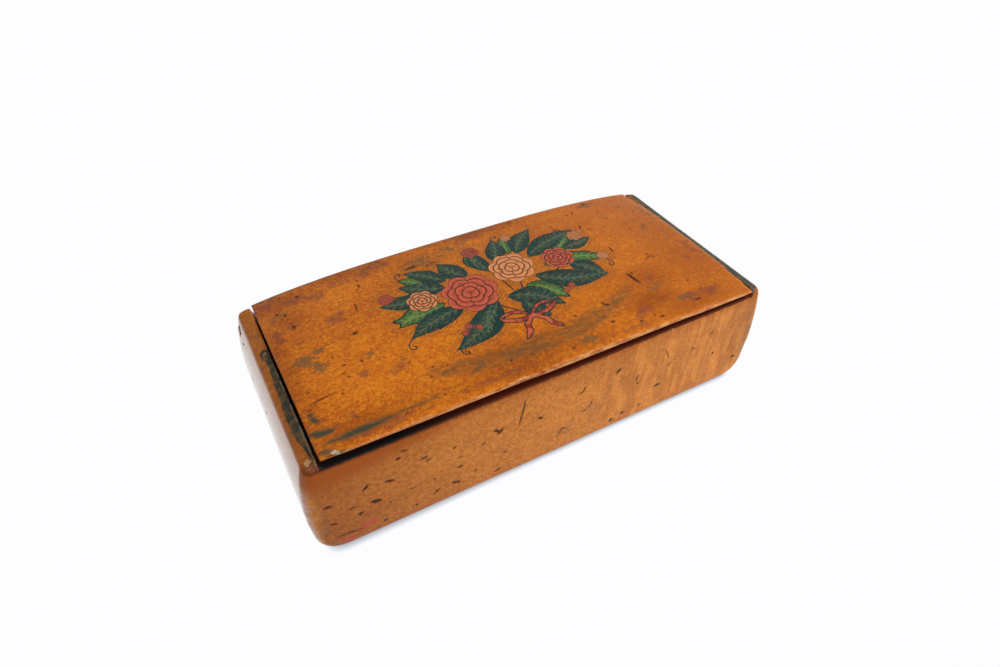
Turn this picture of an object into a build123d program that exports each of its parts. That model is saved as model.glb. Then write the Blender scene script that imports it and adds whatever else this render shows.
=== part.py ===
import os
from math import hypot

from build123d import *

os.makedirs("parts", exist_ok=True)

# A carved wooden snuff box: +X is the right end, -Y the opening side, +Z up.
# The origin is the middle of the underside. All sizes are in millimetres.

# Outer form of the carved block
box_length = 89.0        # over the swell of the two ends
box_width = 39.8
swell_height = 12.2      # height at which the ends stand out furthest
foot_inset = 1.35        # how far the ends draw in at the foot
shoulder_inset = 1.45    # how far they draw in at the shoulder
foot_round = 4.8         # rounding of the ends into the underside
shoulder_round = 0.7     # rounding of the ends into the top of the end walls
side_round = 1.65        # rounding of the long sides into the ends and underside

# End walls, rim and well
end_wall = 3.65          # from the swell of an end to the lid's bay
rim_height = 21.05
rim_round = 0.3
end_wall_rise = 1.05     # how far an end wall stands above the rim beside the lid
shoulder_rise = 0.55     # and how far at its outer shoulder
end_ledge = 2.25         # rim that shows inside each end wall
front_wall = 3.0
floor_thickness = 3.0

# Hinge along the back, cut from the same wood as the box and the lid
knuckle_radius = 2.3
knuckle_count = 11       # odd, so that the box holds both end knuckles
knuckle_gap = 0.15       # running gap beside and around each knuckle
knuckle_fence = 0.9      # wood between the knuckles and the well
pin_radius = 0.7
pin_gap = 0.05
pin_in_wall = 1.3        # how far the pin runs into each end wall

# Lid
lid_gap = 0.3            # between the lid and each end wall
lid_lift_back = 0.35     # between the rim and the lid, beside the hinge
lid_lift_left = 1.48     # the warped lid's front edge stands off the rim
lid_lift_right = 0.72
lid_edge_end = 0.5       # thickness of the front edge at its two ends
lid_edge_middle = 1.3
arch_rise = 2.58         # rise of the top from the shoulders to the crown
arch_power = 3.2         # the arch is flat in the middle, steep at the ends
lid_crown_end = 0.9      # swell of the top between its front and back edges
lid_crown_middle = 0.7
back_round = 1.2         # rounding of the lid's back edge, from the top inwards
back_drop_end = 0.45     # and from the top downwards
back_drop_middle = 1.1
field_depth = 1.2        # the lid's raised inner field drops this far into the well
field_gap = 0.35
field_bond = 0.25        # how deep field and knuckles run into the lid's plate
lid_stations = 9

# Lining of thin tin-lead sheet
sheet = 0.2
sheet_below_rim = 0.2

# Places that follow from the sizes above
half_length = box_length / 2
half_width = box_width / 2
bay_half = half_length - end_wall
end_wall_top = rim_height + end_wall_rise
shoulder_height = rim_height + shoulder_rise
shoulder_x = half_length - shoulder_inset
foot_x = half_length - foot_inset
pin_y = half_width - knuckle_radius
pin_z = rim_height - knuckle_radius
well_half = bay_half - end_ledge
well_front = -half_width + front_wall
well_back = pin_y - knuckle_radius - knuckle_fence
well_width = well_back - well_front
well_middle = (well_front + well_back) / 2
lid_half = bay_half - lid_gap
lid_under_back = rim_height + lid_lift_back
pitch = 2 * bay_half / knuckle_count
bore_radius = pin_radius + pin_gap
pin_half = bay_half + pin_in_wall
cut_height = 2 * end_wall_top
turn = 1 - 0.5**0.5      # how far the middle of a rounded edge lies inside its corner
near = 0.01              # heights closer than this count as the same

body_knuckles = [-bay_half + (i + 0.5) * pitch for i in range(0, knuckle_count, 2)]
lid_knuckles = [-bay_half + (i + 0.5) * pitch for i in range(1, knuckle_count, 2)]

# The raised field's back edge passes clear of the hinge's front corner as the lid turns.
hinge_reach = hypot(pin_y - well_back, rim_height - pin_z)
field_half = well_half - sheet - field_gap
field_front = well_front + sheet + field_gap
field_back = pin_y - hinge_reach - field_gap
field_bottom = rim_height - field_depth


def arch_height(x):
    """Height of the arched top above the underside, along the back edge."""
    return shoulder_height + arch_rise * (1 - abs(x / shoulder_x) ** arch_power)


def front_under(x):
    """Height of the lid's lower front edge, which the warp tilts from left to right."""
    share = (x + lid_half) / (2 * lid_half)
    return rim_height + lid_lift_left + (lid_lift_right - lid_lift_left) * share


def under_height(x, y):
    """Height of the underside of the lid's plate."""
    share = (half_width - y) / box_width
    return lid_under_back + (front_under(x) - lid_under_back) * share


# Outer block, before anything is cut from it
with BuildPart() as block:
    with BuildSketch(Plane.XZ):
        with BuildLine():
            right_end = ThreePointArc(
                (foot_x, 0), (half_length, swell_height), (shoulder_x, shoulder_height)
            )
            left_end = ThreePointArc(
                (-foot_x, 0), (-half_length, swell_height), (-shoulder_x, shoulder_height)
            )
            Line((-foot_x, 0), (foot_x, 0))
            Polyline(
                (shoulder_x, shoulder_height),
                (bay_half, end_wall_top),
                (-bay_half, end_wall_top),
                (-shoulder_x, shoulder_height),
            )
        make_face()
        ends = vertices().sort_by(Axis.Y)
        fillet(ends[:2], foot_round)
        shoulders = vertices().filter_by(lambda v: abs(v.Y - shoulder_height) < near)
        fillet(shoulders, shoulder_round)
    extrude(amount=half_width, both=True)
    sides = faces().filter_by(Axis.Y)
    side_edges = sides.edges().filter_by(lambda e: e.center().Z < end_wall_top - near)
    fillet(side_edges, side_round)

# Box body: well, lid's bay, hinge knuckles and pin bore
with BuildPart() as box_body:
    add(block.part)
    with BuildSketch(Plane.XY.offset(rim_height)):
        Rectangle(2 * bay_half, 2 * box_width)
    extrude(amount=cut_height, mode=Mode.SUBTRACT)
    with BuildSketch(Plane.XY.offset(floor_thickness)):
        with Locations((0, well_middle)):
            Rectangle(2 * well_half, well_width)
    extrude(amount=cut_height, mode=Mode.SUBTRACT)
    rim_edge = (
        edges()
        .filter_by(Axis.X)
        .filter_by(lambda e: abs(e.center().Z - rim_height) < near)
        .sort_by(Axis.Y)[0]
    )
    fillet(rim_edge, rim_round)
    # The corner behind the pin is cleared, and round knuckles are left in it.
    with BuildSketch(Plane.XY.offset(pin_z)):
        with Locations((0, pin_y + box_width / 2)):
            Rectangle(2 * bay_half, box_width)
    extrude(amount=cut_height, mode=Mode.SUBTRACT)
    for x in body_knuckles:
        with BuildSketch(Plane.YZ.offset(x)):
            with Locations((pin_y, pin_z)):
                Circle(knuckle_radius)
        extrude(amount=pitch / 2, both=True)
    for x in lid_knuckles:
        with BuildSketch(Plane.YZ.offset(x)):
            with Locations((pin_y, pin_z)):
                Circle(knuckle_radius + knuckle_gap)
            with Locations((well_back, pin_z - knuckle_gap)):
                Rectangle(box_width, cut_height, align=(Align.MIN, Align.MIN))
        extrude(amount=pitch / 2, both=True, mode=Mode.SUBTRACT)
    with BuildSketch(Plane.YZ):
        with Locations((pin_y, pin_z)):
            Circle(bore_radius)
    extrude(amount=box_length, both=True, mode=Mode.SUBTRACT)
box_body.part.label = "box_body"

# Lid: arched plate, raised inner field and its share of the knuckles
with BuildPart() as lid:
    for i in range(lid_stations):
        share = 2 * i / (lid_stations - 1) - 1
        x = share * lid_half
        fullness = 1 - share**2
        edge = lid_edge_end + (lid_edge_middle - lid_edge_end) * fullness
        drop = back_drop_end + (back_drop_middle - back_drop_end) * fullness
        crown = lid_crown_end + (lid_crown_middle - lid_crown_end) * fullness
        low = front_under(x)
        front_top = (-half_width, low + edge)
        back_top = (half_width - back_round, arch_height(x))
        back_turn = (half_width - turn * back_round, arch_height(x) - turn * drop)
        back_low = (half_width, arch_height(x) - drop)
        middle = (-back_round / 2, (front_top[1] + back_top[1]) / 2 + crown)
        with BuildSketch(Plane.YZ.offset(x)):
            with BuildLine():
                Line((-half_width, low), front_top)
                ThreePointArc(front_top, middle, back_top)
                ThreePointArc(back_top, back_turn, back_low)
                Line(back_low, (half_width, lid_under_back))
                Line((half_width, lid_under_back), (-half_width, low))
            make_face()
    loft()
    for x in (-field_half, field_half):
        with BuildSketch(Plane.YZ.offset(x)):
            with BuildLine():
                Polyline(
                    (field_front, field_bottom),
                    (field_back, field_bottom),
                    (field_back, under_height(x, field_back) + field_bond),
                    (field_front, under_height(x, field_front) + field_bond),
                    close=True,
                )
            make_face()
    loft(ruled=True)
    web_front = well_back + knuckle_gap
    for x in lid_knuckles:
        with BuildSketch(Plane.YZ.offset(x)):
            with Locations((pin_y, pin_z)):
                Circle(knuckle_radius)
            with Locations((web_front, pin_z)):
                Rectangle(
                    pin_y - web_front,
                    lid_under_back + field_bond - pin_z,
                    align=(Align.MIN, Align.MIN),
                )
        extrude(amount=pitch / 2 - knuckle_gap, both=True)
    with BuildSketch(Plane.YZ):
        with Locations((pin_y, pin_z)):
            Circle(bore_radius)
    extrude(amount=box_length, both=True, mode=Mode.SUBTRACT)
lid.part.label = "lid"

# Hinge pin: a brass wire that ends inside the end walls
with BuildPart() as hinge_pin:
    with BuildSketch(Plane.YZ):
        with Locations((pin_y, pin_z)):
            Circle(pin_radius)
    extrude(amount=pin_half, both=True)
hinge_pin.part.label = "hinge_pin"


def bore_plug(side):
    """Wooden peg that closes the pin's bore, cut flush with the end of the box."""
    with BuildPart() as plug:
        with BuildSketch(Plane.YZ.offset(side * pin_half)):
            with Locations((pin_y, pin_z)):
                Circle(bore_radius)
        extrude(amount=side * end_wall)
        add(block.part, mode=Mode.INTERSECT)
    return plug.part


pin_plug_left = bore_plug(-1)
pin_plug_left.label = "pin_plug_left"
pin_plug_right = bore_plug(1)
pin_plug_right.label = "pin_plug_right"

# Lining of the well: a floor sheet, then four wall sheets that stand on it
wall_foot = floor_thickness + sheet
wall_top = rim_height - sheet_below_rim
back_wall_top = pin_z - knuckle_gap - sheet_below_rim


def lining_sheet(size, low_corner):
    """Flat sheet of the given length, depth and height."""
    with BuildPart() as piece:
        with Locations(low_corner):
            Box(*size, align=(Align.MIN, Align.MIN, Align.MIN))
    return piece.part


lining_floor = lining_sheet(
    (2 * well_half, well_width, sheet), (-well_half, well_front, floor_thickness)
)
lining_floor.label = "lining_floor"
lining_front = lining_sheet(
    (2 * well_half, sheet, wall_top - wall_foot), (-well_half, well_front, wall_foot)
)
lining_front.label = "lining_front"
lining_back = lining_sheet(
    (2 * well_half, sheet, back_wall_top - wall_foot),
    (-well_half, well_back - sheet, wall_foot),
)
lining_back.label = "lining_back"
side_size = (sheet, well_width - 2 * sheet, wall_top - wall_foot)
lining_left = lining_sheet(side_size, (-well_half, well_front + sheet, wall_foot))
lining_left.label = "lining_left"
lining_right = lining_sheet(side_size, (well_half - sheet, well_front + sheet, wall_foot))
lining_right.label = "lining_right"

# Lining of the lid: one sheet under the raised field
lining_lid = lining_sheet(
    (2 * field_half, field_back - field_front, sheet),
    (-field_half, field_front, field_bottom - sheet),
)
lining_lid.label = "lining_lid"

pieces = [box_body.part, lid.part, hinge_pin.part, pin_plug_left, pin_plug_right]
pieces += [lining_floor, lining_front, lining_back, lining_left, lining_right, lining_lid]
for piece in pieces:
    export_step(piece, f"parts/{piece.label}.step")
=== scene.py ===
# %% [markdown]
# # A carved snuff box with a wooden hinge
#
# The box is one block of pale, close-grained wood under an old honey-coloured varnish. A thin
# arched lid lies between two raised end walls and turns on knuckles carved from the same wood.
# The frame brings the real sizes and the pieces that move. This file gives them the look: edges
# worn round by pockets, chips, dents, stains, a painted posy on the lid and a lining of dull metal.

# %% Load the frame
import math
import random

import bmesh
import bpy
import numpy as np
from mathutils import Matrix, Vector, noise


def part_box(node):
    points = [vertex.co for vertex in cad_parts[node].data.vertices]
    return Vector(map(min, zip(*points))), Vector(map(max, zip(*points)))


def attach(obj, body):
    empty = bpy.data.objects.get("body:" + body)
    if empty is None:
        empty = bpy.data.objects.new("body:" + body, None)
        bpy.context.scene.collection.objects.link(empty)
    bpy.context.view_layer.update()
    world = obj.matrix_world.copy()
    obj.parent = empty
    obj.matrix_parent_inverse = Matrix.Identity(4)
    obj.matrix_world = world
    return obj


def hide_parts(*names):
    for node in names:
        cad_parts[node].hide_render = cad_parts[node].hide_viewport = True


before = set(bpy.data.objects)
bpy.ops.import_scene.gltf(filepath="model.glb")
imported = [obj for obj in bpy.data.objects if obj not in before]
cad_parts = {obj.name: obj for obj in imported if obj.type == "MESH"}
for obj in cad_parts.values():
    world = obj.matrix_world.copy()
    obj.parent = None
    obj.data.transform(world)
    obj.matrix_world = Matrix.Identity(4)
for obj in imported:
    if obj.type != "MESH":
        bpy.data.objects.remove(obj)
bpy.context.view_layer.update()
MM = 0.001
print("pieces in the frame:", sorted(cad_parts))

# %% [markdown]
# ## Camera
#
# The view is a close-up taken from above the front left corner. A camera this near shows strong
# perspective, so its place matters as much as its direction. Place, turn and tilt come from
# matching the outline of the block, and the lens from the same match.

# %% Camera
camera_place = Vector((-47.1, -81.1, 98.2)) * MM
camera_turn = math.radians(-29.57)
camera_tilt = math.radians(42.11)
camera_roll = math.radians(0.85)
focal_px = 674.2
frame_width_px = 1000

back = Vector((
    math.sin(camera_turn) * math.cos(camera_tilt),
    -math.cos(camera_turn) * math.cos(camera_tilt),
    math.sin(camera_tilt),
))
level = Vector((0, 0, 1)).cross(back).normalized()
upright = back.cross(level)
right = level * math.cos(camera_roll) + upright * math.sin(camera_roll)
up = upright * math.cos(camera_roll) - level * math.sin(camera_roll)

camera_data = bpy.data.cameras.new("camera")
camera_data.lens = camera_data.sensor_width * focal_px / frame_width_px
camera_data.clip_start = 5 * MM
camera = bpy.data.objects.new("camera", camera_data)
bpy.context.collection.objects.link(camera)
camera_axes = Matrix((right, up, back)).transposed().to_4x4()
camera.matrix_world = Matrix.Translation(camera_place) @ camera_axes
bpy.context.scene.camera = camera
print("lens", round(camera_data.lens, 2), "mm")

# %% [markdown]
# ## Building shader trees
#
# Each material below is a small tree of nodes. A node's output is wrapped in a class that can be
# added, multiplied and so on, so a mask is written like any other sum, and every step of it
# becomes a Math node in the same tree. That reads far better than a long list of links.

# %% Values that can be summed
class Value:
    """The output of a node; a sum with it adds a Math node to its own tree."""

    def __init__(self, socket):
        self.socket = socket
        self.tree = socket.id_data

    def __add__(self, other):
        return sums("ADD", self, other)

    def __sub__(self, other):
        return sums("SUBTRACT", self, other)

    def __rsub__(self, other):
        return sums("SUBTRACT", other, self)

    def __mul__(self, other):
        return sums("MULTIPLY", self, other)

    def __abs__(self):
        return sums("ABSOLUTE", self)


def connect(node, inputs):
    """Fills a node's sockets, by name or number, with plain numbers and colours or with Values."""
    for socket, value in inputs.items():
        if isinstance(value, Value):
            value.tree.links.new(value.socket, node.inputs[socket])
        else:
            node.inputs[socket].default_value = value


def add(tree, kind, inputs=None, **settings):
    """Adds a node; gives its outputs as Values, by name and by number."""
    made = tree.nodes.new(kind)
    for key, setting in settings.items():
        setattr(made, key, setting)
    connect(made, inputs or {})
    values = [Value(socket) for socket in made.outputs]
    return dict(enumerate(values)) | {value.socket.name: value for value in values}


def tree_of(values):
    """The tree that the first Value among these belongs to."""
    return next(value.tree for value in values if isinstance(value, Value))


# %% Node helpers
def sums(operation, *values):
    """One step of arithmetic."""
    return add(tree_of(values), "ShaderNodeMath", dict(enumerate(values)), operation=operation)[0]


def mask(value, low, high):
    """0 below low and 1 above high, with a soft step between; low may be the larger one."""
    inputs = {"Value": value, "From Min": low, "From Max": high}
    return add(value.tree, "ShaderNodeMapRange", inputs, interpolation_type="SMOOTHSTEP")[0]


def lay(under, over, cover, strength=None, blend="MIX"):
    """Lays one colour over another where the cover is 1; strength thins the whole layer."""
    if strength is not None:
        cover = cover * strength
    inputs = {0: cover, 6: under, 7: over}
    return add(tree_of((under, over, cover)), "ShaderNodeMix", inputs, data_type="RGBA", blend_type=blend)[2]


def deepen(colour, amount, by=(0.55, 0.44, 0.28, 1)):
    """Darkens and warms a colour, as thick or dirty varnish does."""
    return lay(colour, by, amount, blend="MULTIPLY")


def cloud(place, scale, detail=2.0, stretch=(1, 1, 1)):
    """Noise from 0 to 1. The scale is in features per millimetre."""
    stretched = add(place.tree, "ShaderNodeVectorMath", {0: place, 1: stretch}, operation="MULTIPLY")[0]
    inputs = {"Vector": stretched, "Scale": scale, "Detail": detail, "Roughness": 0.55}
    return add(place.tree, "ShaderNodeTexNoise", inputs)[0]


def millimetres(tree):
    """The surface's place on the object, in millimetres."""
    inputs = {0: add(tree, "ShaderNodeTexCoord")["Object"], "Scale": 1 / MM}
    return add(tree, "ShaderNodeVectorMath", inputs, operation="SCALE")[0]


def parts(vector):
    """The x, y and z of a vector."""
    split = add(vector.tree, "ShaderNodeSeparateXYZ", {0: vector})
    return split["X"], split["Y"], split["Z"]


def stored(tree, name):
    """A value kept on the mesh under that name."""
    return add(tree, "ShaderNodeAttribute", attribute_name=name, attribute_type="GEOMETRY")["Fac"]


def new_group(name, inputs):
    """An empty node group, and its inputs as Values; an input without a value is a place."""
    group = bpy.data.node_groups.new(name, "ShaderNodeTree")
    for label, value in inputs.items():
        kind = "Vector" if value is None else "Color" if isinstance(value, tuple) else "Float"
        socket = group.interface.new_socket(label, in_out="INPUT", socket_type="NodeSocket" + kind)
        if value is not None:
            socket.default_value = value
    return group, add(group, "NodeGroupInput")


def put_out(group, values):
    """Gives the group its outputs and joins the finished values to them."""
    for label, value in values.items():
        kind = "Color" if value.socket.type == "RGBA" else "Float"
        group.interface.new_socket(label, in_out="OUTPUT", socket_type="NodeSocket" + kind)
    connect(group.nodes.new("NodeGroupOutput"), values)


def fill(group, inputs):
    """Places a node group, sets or links its inputs, and gives its outputs."""
    return add(tree_of(inputs.values()), "ShaderNodeGroup", inputs, node_tree=group)


def new_material(name):
    """A material with a Principled shader; gives the material, its tree and the shader."""
    material = bpy.data.materials.new(name)
    material.use_nodes = True
    tree = material.node_tree
    return material, tree, tree.nodes["Principled BSDF"]


# %% [markdown]
# ## Light, floor and background
#
# Small antiques are often shown on a sheet of white card under soft light from all round. One
# even sky gives most of the light and two broad lamps give it a gentle direction. The card is
# plain white in the camera and in the varnish. For the camera alone, an occlusion node keeps the
# narrow bluish shadow where the box meets it.

# %% Sky and lamps
sky_level = 0.60
card_white = (0.982, 0.982, 1, 1)
middle_of_box = Vector((0, 0, 12 * MM))
world = bpy.data.worlds.new("soft_sky")
world.use_nodes = True
bpy.context.scene.world = world
sky = world.node_tree
sky_light = sky.nodes["Background"]
connect(sky_light, {"Color": (1, 1, 1, 1), "Strength": sky_level})
backdrop = add(sky, "ShaderNodeBackground", {"Color": card_white, "Strength": 1.0})[0]
seen = add(sky, "ShaderNodeLightPath")["Is Camera Ray"]
sky_mix = add(sky, "ShaderNodeMixShader", {0: seen, 1: Value(sky_light.outputs[0]), 2: backdrop})[0]
connect(sky.nodes["World Output"], {"Surface": sky_mix})


def soft_lamp(name, place_mm, size_mm, watts):
    """A broad square lamp that faces the middle of the box."""
    data = bpy.data.lights.new(name, "AREA")
    data.size = size_mm * MM
    data.energy = watts
    lamp = bpy.data.objects.new(name, data)
    bpy.context.collection.objects.link(lamp)
    place = Vector(place_mm) * MM
    lamp.location = place
    lamp.rotation_euler = (middle_of_box - place).to_track_quat("-Z", "Y").to_euler()


soft_lamp("lamp_right", (400, -140, 300), 260, 1.5)
soft_lamp("lamp_front", (60, -420, 260), 260, 0.9)
print("sky", sky_level, "and two lamps")

# %% Floor
contact_blue = (0.38, 0.41, 0.46, 1)
bpy.ops.mesh.primitive_plane_add(size=3.0)
floor = bpy.context.object
floor.name = "floor"
card, tree, shader = new_material("white_card")
connect(shader, {"Base Color": (0.8, 0.8, 0.81, 1), "Roughness": 0.8})
closeness = add(tree, "ShaderNodeAmbientOcclusion", {"Distance": 1.5 * MM}, samples=12)["AO"]
fade_end = mask(parts(millimetres(tree))[0], 0.0, -40.0) * 0.22 + 0.60
inputs = {"Value": closeness, "From Min": 0.22, "From Max": fade_end}
tint = lay(contact_blue, card_white, add(tree, "ShaderNodeMapRange", inputs)[0])
light_path = add(tree, "ShaderNodeLightPath")
looked_at, mirrored = light_path["Is Camera Ray"], light_path["Is Glossy Ray"]
tint = lay((1, 1, 1, 1), tint, looked_at)
glow = add(tree, "ShaderNodeEmission", {"Color": tint, "Strength": 1.0})[0]
bright = sums("MAXIMUM", looked_at, mirrored)
floor_mix = add(tree, "ShaderNodeMixShader", {0: bright, 1: Value(shader.outputs[0]), 2: glow})[0]
connect(tree.nodes["Material Output"], {"Surface": floor_mix})
floor.data.materials.append(card)

# %% [markdown]
# ## Even faces to carve
#
# The frame's meshes have long thin faces, which can't take a dent or hold paint. A voxel remesh
# gives small even faces in the same shape, a little smoothing rounds the sharp edges as handling
# does, and from then on every vertex can be pushed in or given a value of its own.

# %% A remeshed copy
def carved_copy(node, face_size):
    """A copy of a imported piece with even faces, as a bmesh."""
    whole = bmesh.new()
    whole.from_mesh(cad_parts[node].data)
    bmesh.ops.remove_doubles(whole, verts=whole.verts, dist=0.001 * MM)
    rough = bpy.data.meshes.new(node + "_rough")
    whole.to_mesh(rough)
    whole.free()
    blank = bpy.data.objects.new(node + "_rough", rough)
    bpy.context.collection.objects.link(blank)
    remesh = blank.modifiers.new("even_faces", "REMESH")
    remesh.mode = "VOXEL"
    remesh.voxel_size = face_size
    ready = blank.evaluated_get(bpy.context.evaluated_depsgraph_get())
    even = bpy.data.meshes.new_from_object(ready)
    bpy.data.objects.remove(blank)
    carved = bmesh.new()
    carved.from_mesh(even)
    bpy.data.meshes.remove(even)
    return carved


def soften(carved, rounds, chosen=None):
    """Rounds the edges off as handling does; chosen tells which places it reaches."""
    reached = [v for v in carved.verts if chosen is None or chosen(v.co / MM)]
    for _ in range(rounds):
        bmesh.ops.smooth_vert(
            carved, verts=reached, factor=0.5, use_axis_x=True, use_axis_y=True, use_axis_z=True
        )


def draw_out(carved, node, border=1.2):
    """Softening shrinks thin ends, so the outermost border is drawn out to its real size again."""
    for axis, ends in enumerate(zip(*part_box(node))):
        places = np.array([v.co[axis] for v in carved.verts])
        for target, now in zip(ends, (places.min(), places.max())):
            share = np.clip(1 - np.abs(places - now) / (border * MM), 0, 1)
            for vertex, pull in zip(carved.verts, share):
                vertex.co[axis] += pull * (target - now)
    carved.normal_update()


def merge_hidden(carved, low, high):
    """Makes large faces of the flat ones inside a box, where another piece covers them."""
    verts = [v for v in carved.verts if all(low[i] < v.co[i] < high[i] for i in range(3))]
    inside = set(verts)    # quick to look in, but only the list has the same order in every run
    edges = [e for e in carved.edges if e.verts[0] in inside and e.verts[1] in inside]
    bmesh.ops.dissolve_limit(carved, angle_limit=0.02, verts=verts, edges=edges)


def places_and_normals(carved):
    """Every vertex's place in millimetres and its normal, as two arrays."""
    places = np.array([v.co[:] for v in carved.verts]) / MM
    normals = np.array([v.normal[:] for v in carved.verts])
    return places, normals


def push_in(carved, depths):
    """Moves each vertex inwards along its normal, by its own depth in millimetres."""
    for vertex, depth in zip(carved.verts, depths):
        vertex.co -= vertex.normal * (depth * MM)
    carved.normal_update()


def slow_waves(places, wave_mm, seed):
    """Gentle unevenness between 0 and 1 at that wavelength."""
    shift = Vector((seed * 13.7, seed * 5.1, seed * 8.3))
    return np.array([0.5 + 0.5 * noise.noise(Vector(p) / wave_mm + shift) for p in places])


def finished_piece(name, carved, body, node, values):
    """Makes the object, keeps the values on its mesh, and puts it in the place of a node."""
    mesh = bpy.data.meshes.new(name)
    carved.to_mesh(mesh)
    carved.free()
    mesh.shade_smooth()
    for label, numbers in values.items():
        layer = mesh.attributes.new(label, "FLOAT", "POINT")
        layer.data.foreach_set("value", np.asarray(numbers, np.float32))
    piece = bpy.data.objects.new(name, mesh)
    bpy.context.collection.objects.link(piece)
    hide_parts(node)
    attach(piece, body)
    print(name, len(mesh.polygons), "faces")
    return piece


# %% [markdown]
# ## Drawing with distances
#
# Paint and scratches have crisp edges, much finer than the mesh. So the mesh doesn't store colour.
# It stores distances: how far a vertex is from the edge of a leaf, or from the middle of a stroke.
# Distances change evenly between vertices, and the shader cuts them sharply at any size.

# %% Shapes as distances
far_away = 3.0    # millimetres, for a point with no stroke near it


def turned(points, at, angle):
    """Coordinates along and across a direction given in degrees."""
    x, y = points[:, 0] - at[0], points[:, 1] - at[1]
    c, s = math.cos(math.radians(angle)), math.sin(math.radians(angle))
    return x * c + y * s, y * c - x * s


def leaf(points, at, angle, length, width, bend=0.0):
    """Distance to a pointed leaf that grows from its stem end; below 0 inside."""
    along, across = turned(points, at, angle)
    share = np.clip(along / length, 0, 1)
    over = np.abs(across - 4 * bend * share * (1 - share)) - width * np.sin(np.pi * share**0.8)
    beyond = np.abs(along - share * length)
    return np.hypot(np.maximum(over, 0), beyond) + np.minimum(over, 0)


def round_shape(points, at, radius):
    """Distance to a round shape; below 0 inside."""
    return np.hypot(points[:, 0] - at[0], points[:, 1] - at[1]) - radius


def bent(start, end, bow, steps=12):
    """Points along a bowed line; bow is how far its middle stands off the straight line."""
    start, end = np.array(start, float), np.array(end, float)
    side = np.array([start[1] - end[1], end[0] - start[0]]) / np.linalg.norm(end - start)
    shares = np.linspace(0, 1, steps)
    return [start + (end - start) * t + side * 4 * bow * t * (1 - t) for t in shares]


def curl(at, angle, size, turns=1.1, hand=1, steps=22):
    """Points along a tendril that winds up towards its tip."""
    route, place, heading, step = [], np.array(at, float), math.radians(angle), size * 3.2 / steps
    for i in range(steps):
        route.append(place.copy())
        heading += hand * turns * 2 * math.pi * (i / steps) ** 1.3 * 2.2 / steps
        shrink = 1 - 0.75 * i / steps
        place += step * shrink * np.array([math.cos(heading), math.sin(heading)])
    return route


class Strokes:
    """The nearest drawn stroke to every point: its signed distance and its half width there."""

    def __init__(self, points):
        self.points = points
        self.gap = np.full(len(points), far_away)
        self.offset = np.full(len(points), far_away)
        self.width = np.full(len(points), -far_away)

    def draw(self, route, width, pointed=True):
        """Adds a stroke along a route; a pointed one thins out towards both ends."""
        route = [np.array(p, float) for p in route]
        for i, (a, b) in enumerate(zip(route, route[1:])):
            run = b - a
            away = self.points - a
            share = np.clip(away @ run / (run @ run), 0, 1)
            off = away - share[:, None] * run
            size = np.hypot(off[:, 0], off[:, 1])
            side = np.where(run[0] * off[:, 1] - run[1] * off[:, 0] < 0, -1, 1)
            along = (i + share) / (len(route) - 1)
            half = width / 2 * (np.sqrt(np.clip(1 - (2 * along - 1) ** 2, 0, 1)) if pointed else 1)
            better = (size - half < self.gap) & (size < 1.0 + width)
            self.gap[better] = (size - half)[better]
            self.offset[better] = (side * size)[better]
            self.width[better] = np.broadcast_to(half, size.shape)[better]


def dash(x, y, length, width, angle):
    """The two ends of a short straight mark round its middle, and its width."""
    dx = math.cos(math.radians(angle)) * length / 2
    dy = math.sin(math.radians(angle)) * length / 2
    return [(x - dx, y - dy), (x, y), (x + dx, y + dy)], width


def blot(points, x, y, length, width, angle=0.0):
    """A soft stain: 1 in its middle, falling to 0 at its rim."""
    along, across = turned(points, (x, y), angle)
    return np.clip(1.3 - 1.3 * np.hypot(along / length, across / width), 0, 1)


# %% [markdown]
# ## The lid
#
# The lid is a thin plate, arched along its length, and warped so that its front edge stands off
# the box. Pockets have worn its front edge down to bare wood. The varnish shows red-brown
# patches, a grey two-lobed stain, and what is left of a dark painted border along the front.

# %% Carve the lid
lid_face = 0.30 * MM
lid_shape = carved_copy("lid", lid_face)
soften(lid_shape, 3)
draw_out(lid_shape, "lid")
lid_low, lid_high = (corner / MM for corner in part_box("lid"))
lid_places, lid_normals = places_and_normals(lid_shape)
lid_top = np.clip((lid_normals[:, 2] - 0.35) / 0.3, 0, 1)
lid_points = lid_places[:, :2]
front_edge = lid_low.y
wear = slow_waves(lid_places, 17.0, 1) * 0.07 + slow_waves(lid_places, 3.1, 2) * 0.02
near_front = np.clip(1 - (lid_places[:, 1] - front_edge) / 1.1, 0, 1) * lid_top
wear += near_front * 0.30 * slow_waves(lid_places, 2.3, 3) ** 2
upper = lid_top > 0.02
hinge_front = 14.5     # the knuckles and their sockets lie behind this
knuckle_room = 0.08    # and are cut back this far, so that the softened ones don't touch
wear += knuckle_room * ((lid_places[:, 1] > hinge_front) & ~upper)
corner = blot(lid_points, lid_low.x + 2.2, front_edge + 0.3, 1.9, 0.8, 8) * lid_top
wear += corner * (0.25 + 0.5 * slow_waves(lid_places, 0.9, 9))
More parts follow.
